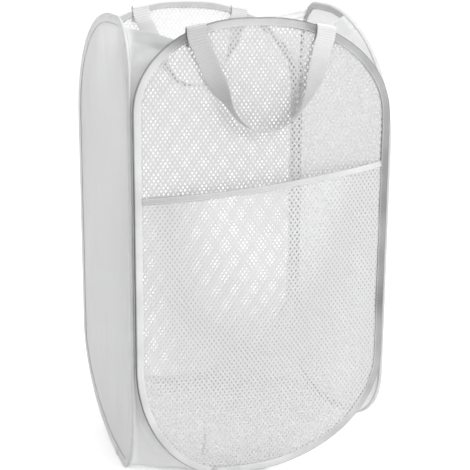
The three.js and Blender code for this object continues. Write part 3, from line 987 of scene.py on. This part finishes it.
# %% [markdown]
# ## A tack
# Near the foot of the front, a short double row of grey stitches holds the pocket to the net behind it. It
# is sewn by the same tree, with thicker thread, along a line that bends a little.

# %% A tack near the foot of the front net
tack_high, tack_low, tack_place, tack_bend = 0.062, 0.036, -0.0830, 0.0030
tack_gap, tack_proud = 0.0009, 0.0014
up = np.linspace(tack_high, tack_low, 8)
across = tack_place + tack_bend * np.sin((up - tack_low) / (tack_high - tack_low) * math.pi / 2)
out = pocket_out(across, up) + tack_proud
rows = [on_wall("front", across + side * tack_gap, out, up) for side in (-1, 1)]
tack = sewn("front_tack_stitches", rows, pitch=0.0036, length=0.0030, thickness=0.0008, thread=tack_finish)
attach(tack, "front")
print(*faces_of(tack))

# %% [markdown]
# ## Side panels
# The two sides are plain nylon, pulled fairly tight by their hoops, with faint upright folds and
# a little slack where the hoop turns tightly. The panel is lofted in columns from the lowest to the highest
# point inside its hoop, so that its edge follows the tape. The left side is painted darker than the right
# side and darker still towards its top: painted shade.

# %% Nylon in its hoop
nylon_thickness = 0.0005
panel_fold, panel_crease, panel_sag = 0.0011, 0.0007, 0.0022
# Painted shade of each side panel against height: the left panel darker than the right, and darker towards its
# top
panel_painted_shade = {
    "left": ((0.095, 0.42), (0.227, 0.30), (0.36, 0.22), (0.46, 0.18), (0.54, 0.12)),
    "right": ((0.0, 0.66), (1.0, 0.66)),
}


def nylon_panel(wall):
    """A side wall's panel, from columns that crowd where its hoop turns"""
    corners = walls[wall][1]
    reach = half - panel_inset
    across = reach * np.sin(np.linspace(-1, 1, 101) * math.pi / 2 * 0.9995)
    low, high = wall_heights(corners, across, panel_inset)
    rise = (1 - np.cos(np.linspace(0, 1, 121) * math.pi)) / 2
    up = low[:, None] + (high - low)[:, None] * rise[None, :]
    u = np.broadcast_to(across[:, None], up.shape)
    edge = np.minimum(rise, 1 - rise)[None, :] * (high - low)[:, None]
    edge = np.minimum(edge, reach - np.abs(u))
    inner = smooth(0.001, 0.045, edge)
    folds = panel_fold * ripple(u * 11, up * 1.6, seed=21 + len(wall))
    drawn = panel_crease * ripple(u * 30, up * 9, seed=5 + len(wall)) * smooth(0.11, 0.02, edge)
    out = inner * (folds + drawn - panel_sag * smooth(0, 0.12, edge))
    panel = cloth_mesh(wall + "_nylon_panel", on_wall(wall, u, out, up), side_finish, uv=points_of(u, up))
    panel = thickened(shaded(panel, read_off(panel_painted_shade[wall], up)), nylon_thickness)
    placed(panel, wall, wall + "_panel")
    flat_sheet(panel, wall_outline(corners, panel_inset), "stretched", [wall])
    return panel


for wall in ("left", "right"):
    print(*faces_of(nylon_panel(wall)))

# %% [markdown]
# ## Corners
# Where two hoops curve away from each other, a nylon gusset fills the gap above and below, and a narrow strip
# joins their upright runs between. Each sheet is drawn from one tape to the other: tucked behind the first
# tape, across, and tucked behind the second. The upper gussets end in a wide hem and are creased across,
# because the hoops pull them sideways. Every sheet crosses a fold of the box.
# In the photograph the corners differ in how much light they catch, so each has a tone of its own.

# %% The edges that a corner joins
# How far in from the wire, and how far behind the wall's plane, a sheet's edge lies behind a tape
tucks = ((0.0052, 0.0017), (0.0034, 0.0024), (0.0016, 0.0031))
end_side = {"front": -1, "back": 1}
corner_bodies = {
    ("front", -1): ("front", "left"),
    ("front", 1): ("front", "right"),
    ("back", -1): ("back", "left"),
    ("back", 1): ("back_right_seam", "right"),
}


def hoops_at(end, right):
    """The lower and upper corner radii of the two hoops that meet at one corner of the box"""
    side = "_right" if right == end_side[end] else "_left"
    face = "_right" if right > 0 else "_left"
    pairs = ((face_corners, face), (side_corners, side))
    return [(corners["bottom" + name], corners["top" + name]) for corners, name in pairs]


def corner_sheet(end, right, face_up, side_up, bow, steps=24):
    """A grid (up, across, 3) from the net wall's tape to the side wall's, at the given heights"""
    face, side = hoops_at(end, right)
    face_line = half - reach_in(*face, face_up)
    side_line = half - reach_in(*side, side_up)
    columns = [points_of(face_line - tuck, plane - inward, face_up) for tuck, inward in tucks]
    tucked = [points_of(plane - inward, side_line - tuck, side_up) for tuck, inward in tucks[::-1]]
    first, way = columns[-1], tucked[0] - columns[-1]
    inwards = points_of(-way[:, 1], way[:, 0], 0)
    inwards /= np.linalg.norm(inwards, axis=1)[:, None] + 1e-9
    inwards = np.where((inwards[:, :1] + inwards[:, 1:2]) > 0, -inwards, inwards)
    for share in np.linspace(0, 1, steps + 1)[1:-1]:
        columns.append(first + way * share + inwards * bow(share, face_up)[:, None])
    return np.stack(columns + tucked, axis=1) * (right, end_side[end], 1) + (0, middle, 0)


print(len(corner_bodies), "corners")

# %% A corner's pieces in place, and their tones
fold_zone = 0.0016
# Each corner's nylon tone is painted light and shade: the front corners in painted shade, the back corners in
# painted light
gusset_painted_levels = {"front_left": 0.36, "front_right": 0.28, "back_left": 0.65, "back_right": 0.74}
# The tone of pieces painted as lying in full light
painted_light_tone = 1.1


def spans_corner(piece, end, right, node=None):
    """Works out the corner's fold zone and its two bodies but uses neither; bakes the piece's place into its
    mesh and hides the imported node, if one is given
    """
    back = end_side[end]
    fold_place = np.array((right * (half + plane) / 2, middle + back * (half + plane) / 2, 0.3))
    diagonal = np.array((right, -back, 0)) / math.sqrt(2)
    ends = [fold_place - diagonal * fold_zone, fold_place + diagonal * fold_zone]
    bodies = list(corner_bodies[end, right])
    if end == "back":
        ends.reverse()
        bodies.reverse()
    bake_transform(piece)
    if node:
        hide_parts(node)


def share_across(points):
    """For each point of a corner's sheet, the share of the way from the net wall to the side wall"""
    return np.broadcast_to(np.linspace(0, 1, points.shape[1]), points.shape[:2])


def gusset_light_and_shade(name, points):
    """The nylon's painted light and shade over a corner's sheet: the edge that meets the side wall's tape is
    painted paler, as a painted highlight
    """
    return gusset_painted_levels[name] + (1 - gusset_painted_levels[name]) * smooth(0.80, 0.95, share_across(points))


def seam_tone(name, points):
    """The strip between two upright runs lies in shade at the front left and in the light elsewhere"""
    share = share_across(points)
    return 0.30 * (1 - smooth(0.2, 0.7, share)) - 0.1 if name == "front_left" else share * 0 + painted_light_tone


print("a corner bends over", round(2000 * fold_zone, 1), "mm")

# %% A corner's gussets, hem and strip
face_hem, side_hem = 0.583, 0.597
hem_depth, hem_cloth, hem_lift = 0.013, 0.0004, 0.00045
hem_rows, hem_thread = (0.003, 0.011), 0.0007
crease_height, crease_pitch, gusset_ripple, gusset_bulge = 0.0016, 0.021, 0.0007, 0.010
lower_ripple, lower_bulge = 0.0012, 0.004
strip_gap, strip_ripple, strip_sink = 0.0003, 0.0002, 0.0003
floor_level = 0.005
floor_top = floor_level + 0.0008


def corner_pieces(end, right):
    """Sews one corner of the box: the upper gusset with its hem and stitches, the lower gusset, the strip"""
    name = f"{end}_{'right' if right > 0 else 'left'}"
    # The front left corner takes the darker nylon, as painted shade, and the other corners the paler one, as
    # painted light
    nylon = shaded_gusset_finish if name == "front_left" else lit_corner_finish
    face, side = hoops_at(end, right)
    split_low = bottom + max(face[0][1], side[0][1])
    split_high = top - max(face[1][1], side[1][1])
    seed = len(name) + 3 * right

    def sheet_piece(part, grid, tones, node=None, thickness=nylon_thickness):
        """A sheet of this corner, from its grid"""
        piece = thickened(shaded(cloth_mesh(name + part, grid, nylon), tones), thickness)
        spans_corner(piece, end, right, node and name + node)
        return piece

    share = np.sin(np.linspace(0, 1, 90) * math.pi / 2)
    face_up, side_up = (split_high + (hem - split_high) * share for hem in (face_hem, side_hem))
    spread = smooth(0, 1, share)

    def upper_bow(across, up):
        """How far the upper gusset leaves the straight way between the tapes: creases, ripples, a bulge"""
        bulge = math.sin(across * math.pi)
        creases = crease_height * np.sin(up * 2 * math.pi / crease_pitch + 5 * across + seed) * bulge**0.5
        fine = gusset_ripple * ripple(up * 60, across * 1.2 + 0 * up, seed=seed)
        return spread * (creases + fine + gusset_bulge * spread * bulge)

    def lower_bow(across, up):
        """The same for the lower gusset, which is nearly smooth"""
        soft = lower_ripple * ripple(up * 28, across * 1.1 + 0 * up, seed=seed + 7)
        return low_spread * math.sin(across * math.pi) * (soft + lower_bulge * low_spread)

    points = corner_sheet(end, right, face_up, side_up, upper_bow)
    upper = sheet_piece("_top_gusset", points, gusset_light_and_shade(name, points), "_upper_gusset")

    drop = lambda metres: int(np.argmin(np.abs(face_up[-1] - face_up - metres)))
    outward = np.array((right, end_side[end], 0))
    lift = outward * hem_lift
    hem_strip = points[drop(hem_depth):, 2:-2] - lift
    # The gusset's hem band is painted a little lighter still, as painted light
    band = sheet_piece("_gusset_hem", hem_strip, gusset_light_and_shade(name, hem_strip) + 0.10, thickness=hem_cloth)
    rows = [
        points[drop(metres), 2:-2] + outward * face_side * hem_thread - lift / 2
        for metres in hem_rows for face_side in (-1, 1)
    ]
    stitches = sewn(name + "_gusset_stitches", rows, **fine_stitches)
    spans_corner(stitches, end, right)

    lower_share = np.sin(np.linspace(0, 1, 60) * math.pi / 2)
    low_up = (split_low - (split_low - floor_top) * lower_share)[::-1]
    low_spread = smooth(0, 1, lower_share[::-1])
    low_points = corner_sheet(end, right, low_up, low_up, lower_bow)
    lower = sheet_piece("_bottom_gusset", low_points, gusset_light_and_shade(name, low_points), "_lower_gusset")

    seam_up = np.linspace(split_low + strip_gap, split_high - strip_gap, 60)
    seam_bow = lambda across, up: strip_ripple * ripple(up * 30, 0 * up + across, seed=seed + 2) - strip_sink
    seam_points = corner_sheet(end, right, seam_up, seam_up, seam_bow, 6)
    strip = sheet_piece("_seam_strip", seam_points, seam_tone(name, seam_points), "_corner_seam")

    sheets = ((upper, points, [band, stitches]), (lower, low_points, []), (strip, seam_points, []))
    for piece, grid, extra in sheets:
        end + "_tape"
    return name, [len(piece.data.polygons) for piece, _, _ in sheets]


for end, right in corner_bodies:
    print(*corner_pieces(end, right))

# %% [markdown]
# ## Floor
# The floor is one sheet of nylon sewn to the bottom runs of the four hoops. Its outline is the one that the
# hoops leave at its height. It bulges and creases a little. When the box folds, the real floor
# crumples against the front; here the sheet only moves with the front wall.

# %% The floor's sheet
def floor_outline():
    """The eight corners (x, y) that the hoops leave at the floor's height"""
    edge = plane - tucks[-1][1]
    outline = []
    for end, right in (("front", -1), ("front", 1), ("back", 1), ("back", -1)):
        back = end_side[end]
        face, side = hoops_at(end, right)
        on_face = (right * (half - float(reach_in(*face, floor_level))), back * edge)
        on_side = (right * edge, back * (half - float(reach_in(*side, floor_level))))
        outline += [on_side, on_face] if right == back else [on_face, on_side]
    return np.array(outline)


def floor_width(outline, depths):
    """Where the outline's left and right sides lie at each depth"""
    crossings = []
    for a, b in zip(outline, np.roll(outline, -1, axis=0)):
        if abs(b[1] - a[1]) > 1e-6:
            share = (depths - a[1]) / (b[1] - a[1])
            crossings.append(np.where(abs(share - 0.5) < 0.5 + 1e-9, a[0] + (b[0] - a[0]) * share, np.nan))
    return np.nanmin(crossings, axis=0), np.nanmax(crossings, axis=0)


corners_of_floor = floor_outline()
floor_steps, floor_fold, floor_crease = 81, 0.0014, 0.0006
floor_sag, lowest_floor = 0.0012, 0.0012
depths = np.linspace(corners_of_floor[:, 1].min(), corners_of_floor[:, 1].max(), floor_steps)
left_edge, right_edge = floor_width(corners_of_floor, depths)
x = np.linspace(left_edge, right_edge, floor_steps, axis=1)
y = np.broadcast_to(depths[:, None], x.shape)
edge = np.minimum(plane - np.abs(x), plane - np.abs(y))
inner = smooth(0.002, 0.03, edge)
folds = floor_fold * ripple(x * 9, y * 9, seed=31) + floor_crease * ripple(x * 40, y * 30, seed=8)
z = floor_level + nylon_thickness / 2 + inner * (folds - floor_sag)
z = np.clip(z, lowest_floor, None)
floor_piece = cloth_mesh("floor_sheet", points_of(x, y + middle, z), side_finish)
# The floor sheet is painted as pale as the nylon goes, as painted light
floor_piece = thickened(shaded(floor_piece, np.full(x.shape, painted_light_tone)), nylon_thickness)
placed(floor_piece, "front", "floor_panel")
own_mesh(floor_piece)
flat_sheet(floor_piece, corners_of_floor, "stretched", walls)
print(*faces_of(floor_piece))

# %% [markdown]
# ## Handles
# Each handle is one length of ribbed webbing. Its ends are sewn inside the wall, fold over the taped wire and
# meet the loop that hangs outside, turning from face on at the top to edge on at its foot. A table gives
# that turn in degrees against q, which runs from -1 at the loop's left end to 1 at its right end. The strap
# is swept along its way with its ribs in the mesh. Both straps are drawn as the front one's, so the back
# one's loop hangs inside the box.

# %% The way of a strap
webbing_width, webbing_thickness = 0.025, 0.0012
wrap_radius = 0.0035
loop_foot_gap, loop_clearance = 0.0015, 0.0053
start_drop = 0.010
fold_slope = 0.45
loop_power = 2.5
loop_sway = 0.0040
rib_pitch, rib_steps = 0.0030, 6
groove_share, rib_share = 0.72, 0.50
inner_leg = 0.022

# The drop over which the loop leaves the line of its folded end
leaving = (0.001, 0.022)

# Each handle's place, its sizes and its turns (q, degrees)
handles = {
    "front": {"centre": -0.006, "half_span": 0.085, "drop": 0.125, "turns": (
        (-0.87, 0), (-0.82, 5), (-0.79, 14), (-0.717, 44), (-0.632, 74), (-0.58, 83), (-0.51, 88), (-0.25, 88),
        (0.0, 82), (0.15, 78), (0.30, 72), (0.42, 69), (0.50, 65), (0.56, 60), (0.62, 51), (0.70, 34),
        (0.76, 19), (0.81, 8), (0.87, 0),
    )},
    "back": {"centre": -0.003, "half_span": 0.077, "drop": 0.114, "turns": (
        (-0.99, 0), (-0.95, 3), (-0.896, 12), (-0.793, 38), (-0.664, 64), (-0.57, 73), (-0.46, 76), (0.46, 76),
        (0.57, 73), (0.664, 64), (0.793, 38), (0.896, 12), (0.95, 3), (0.99, 0),
    )},
}


def wire_top(across):
    """The wire's height along the top of a net wall, across being the row frame's x"""
    across = np.asarray(across, float)
    reach = np.where(across > 0, face_corners["top_right"][0], face_corners["top_left"][0])
    rise = np.where(across > 0, face_corners["top_right"][1], face_corners["top_left"][1])
    past = np.clip(np.abs(across) - (half - reach), 0, None) / reach
    return top - rise * (1 - np.sqrt(1 - past**2))


def wrap_spot(handle, side, angle, hanging, across, through):
    """A point of the folded end: angle runs from 0 inside the wall to pi outside"""
    x = handle["centre"] + side * (handle["half_span"] + across)
    radius = wrap_radius + webbing_thickness / 2 + through
    crown = wire_top(handle["centre"] + side * (handle["half_span"] - webbing_width / 2))
    fold = crown + fold_slope * (wire_top(x) - crown)
    return points_of(x, -radius * np.cos(angle), fold + radius * np.sin(angle) - hanging)


def ends_height(handle):
    """The mean height of the wire under the strap's two ends"""
    return float(wire_top(handle["centre"] + handle["half_span"] * np.array((-1, 1))).mean())


def loop_spot(handle, q, across, through):
    """A point of the loop at q, from -1 at its left end to 1 at its right end"""
    limit = math.sqrt(1 - start_drop / handle["drop"])
    fallen = 1 - np.abs(q) ** loop_power
    turn = np.radians(read_off(handle["turns"], q))
    slope = loop_power * handle["drop"] * np.sign(q) * np.abs(q) ** (loop_power - 1)
    steep = np.hypot(handle["half_span"], slope)
    outward, downward = np.array((0.0, 1.0, 0.0)), points_of(slope / steep, 0, -handle["half_span"] / steep)
    cosine, sine = np.cos(turn)[..., None], np.sin(turn)[..., None]
    facing = outward * cosine + downward * sine
    sideways = downward * cosine - outward * sine
    clear = loop_foot_gap + (loop_clearance - loop_foot_gap) * np.clip(np.abs(q / limit), 0, 1) ** 3
    out = clear + webbing_width / 2 * np.sin(turn) + webbing_thickness / 2
    height = ends_height(handle) - handle["drop"] * fallen
    middle_line = handle["centre"] + loop_sway * smooth(0, 0.5, fallen)
    spot = points_of(middle_line + handle["half_span"] * q, out, height)
    return spot + facing * np.asarray(through)[..., None] + sideways * np.asarray(across)[..., None]


print("a rib every", rib_pitch * 1000, "mm")

# %% A strap's section and its ribs
def strap_ring():
    """(across, through) round a strap: flat faces and rounded edges, as shares of the half sizes"""
    face = [(share, 1.0) for share in np.linspace(0.93, -0.93, 9)]
    edge = [(-0.99, 0.55), (-1.0, 0.0), (-0.99, -0.55)]
    half_ring = np.array(face + edge)
    return np.concatenate([half_ring, -half_ring])


def half_strap(handle, side, spacing):
    """Stations from the cut end inside the wall to the foot of the loop, as functions of the ring"""
    bend = math.pi * (wrap_radius + webbing_thickness / 2)
    stations = [("leg", metres) for metres in np.arange(inner_leg, 0, -spacing)]
    stations += [("bend", angle) for angle in np.linspace(0, math.pi, round(bend / spacing) + 1)[1:]]
    q = np.linspace(1, 0, 4000)
    places = loop_spot(handle, side * q, 0 * q, 0 * q)
    run = running_length(places)
    even = np.linspace(0, run[-1], round(run[-1] / spacing) + 1)
    stations += [("loop", share) for share in np.interp(even, run, q)[1:]]
    return stations


def strap_half(handle, side):
    """One half of the strap's grid in the wall's own frame: across, out of the wall, up"""
    ring = strap_ring()
    across, through = ring[:, 0] * webbing_width / 2, ring[:, 1]
    spacing = rib_pitch / rib_steps
    rows = []
    for count, (kind, value) in enumerate(half_strap(handle, side, spacing)):
        ribbed = groove_share + rib_share * abs(math.sin(math.pi * count * spacing / rib_pitch))
        depth = through * webbing_thickness / 2 * ribbed
        if kind != "loop":
            angle, hanging = (0.0, value) if kind == "leg" else (value, 0.0)
            rows.append(wrap_spot(handle, side, angle, hanging, across, depth))
            continue
        drop = handle["drop"] * (1 - value**loop_power)
        share = float(smooth(*leaving, drop))
        folded = wrap_spot(handle, side, math.pi, drop, across, depth)
        free = loop_spot(handle, np.full(len(ring), side * value), across, depth)
        rows.append(folded * (1 - share) + free * share)
    return rows


print(len(strap_ring()), "points round a strap")

# %% Two straps and their tones
# The strap's painted light and shade at each share of the whole strap, from -1 at its left cut end to 1 at its
# right one: darker where it lies in shade, paler where light falls on it
strap_light_and_shade = {
    "front": (
        (-1.0, 0.45), (-0.75, 0.41), (-0.35, 0.32), (-0.16, 0.36), (-0.05, 0.44), (0.12, 0.44), (0.22, 0.30),
        (0.35, 0.30), (0.50, 0.42), (0.58, 0.50), (0.66, 0.62), (0.74, 0.71), (1.0, 0.74),
    ),
    "back": (
        (-1.0, 0.98), (-0.78, 0.96), (-0.70, 0.82), (-0.3, 0.95), (0.0, 1.0), (0.2, 0.90), (0.4, 0.50),
        (0.70, 0.46), (0.78, 0.92), (1.0, 0.98),
    ),
}
net_planes = {"front": front_plane, "back": back_plane}


def strap(wall, handle):
    """A whole strap as one piece"""
    left, right = (np.array(strap_half(handle, side)) for side in (-1, 1))
    local = np.concatenate([left, right[-2::-1]])
    points = local * (1, -1, 1) + (0, net_planes[wall], 0)
    piece = cloth_mesh(wall + "_handle", points, webbing_finish, ring=True)
    station = np.concatenate([np.arange(len(left)), np.arange(len(right) - 1)[::-1]])
    # The rib grooves are painted darker, as painted shade
    groove_shade = np.abs(np.cos(math.pi * station / rib_steps)) ** 3
    arm = np.linspace(-1, 1, len(local))
    return shaded(piece, np.repeat(read_off(strap_light_and_shade[wall], arm) - 0.13 * groove_shade, local.shape[1]))


# A zone just off the wall: start and end points at its two depths are worked out below, and nothing uses them
swing_zone = (0.0044, 0.0054)
slant = np.array((0, -1, -0.1)) / math.hypot(1, 0.1) ** 2
for wall, handle in handles.items():
    piece = strap(wall, handle)
    spot = np.array((handle["centre"], net_planes[wall], ends_height(handle) - start_drop))
    start, end = (tuple(spot + slant * metres) for metres in swing_zone)
    wall + "_handle"
    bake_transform(piece)
    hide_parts(*[wall + "_handle" + part for part in ("_left_end", "_right_end", "_loop")])
    print(*faces_of(piece))

# %% [markdown]
# ## Light and floor
# The photograph is a product picture on white: soft light from all round, a broad key from the right and
# above, and no hard shadow. So the world is white, a large soft disk in front at the right gives the forms
# their shade, and a smaller one above the mouth lights the inside. The pale floor carries the hamper. It
# glows a little by itself, so that it stays as white as the background under the hamper's own shade.

# %% Studio
floor_size, floor_gap, floor_glow = 6, 0.0006, 0.12
world_strength = 1.045
lamps = (("key", (1.2, -2.6, 1.5), 1.6, 44.0), ("overhead", (0.10, 0.05, 2.0), 0.8, 20.0))
lamp_aim = Vector((0, 0, 0.3))


def studio():
    """The floor, the world and the lamps"""
    ground = bmesh.new()
    bmesh.ops.create_grid(ground, x_segments=1, y_segments=1, size=floor_size)
    mesh = bpy.data.meshes.new("studio_floor")
    ground.to_mesh(mesh)
    ground.free()
    material, graph = new_finish("studio_floor")
    sockets = {
        "Base Color": mixed(graph, blotches(graph, 0.8, 2.0), grey(0.96), grey(0.98)),
        "Roughness": 0.9,
        "Emission Color": (1, 1, 1, 1),
        "Emission Strength": floor_glow,
    }
    surface(graph, sockets)
    mesh.materials.append(material)
    mesh.transform(Matrix.Translation((0, 0, -floor_gap)))
    added("studio_floor", mesh)
    world = bpy.data.worlds.new("studio")
    world.use_nodes = True
    background = world.node_tree.nodes["Background"]
    background.inputs["Color"].default_value = (1.0, 1.0, 1.0, 1)
    background.inputs["Strength"].default_value = world_strength
    bpy.context.scene.world = world
    for name, place, size, power in lamps:
        data = bpy.data.lights.new(name, "AREA")
        data.shape = "DISK"
        data.size, data.energy = size, power
        turn = (lamp_aim - Vector(place)).to_track_quat("-Z", "Y")
        added(name, data).matrix_world = Matrix.LocRotScale(Vector(place), turn, None)


studio()
bpy.context.scene.view_settings.view_transform = "Standard"
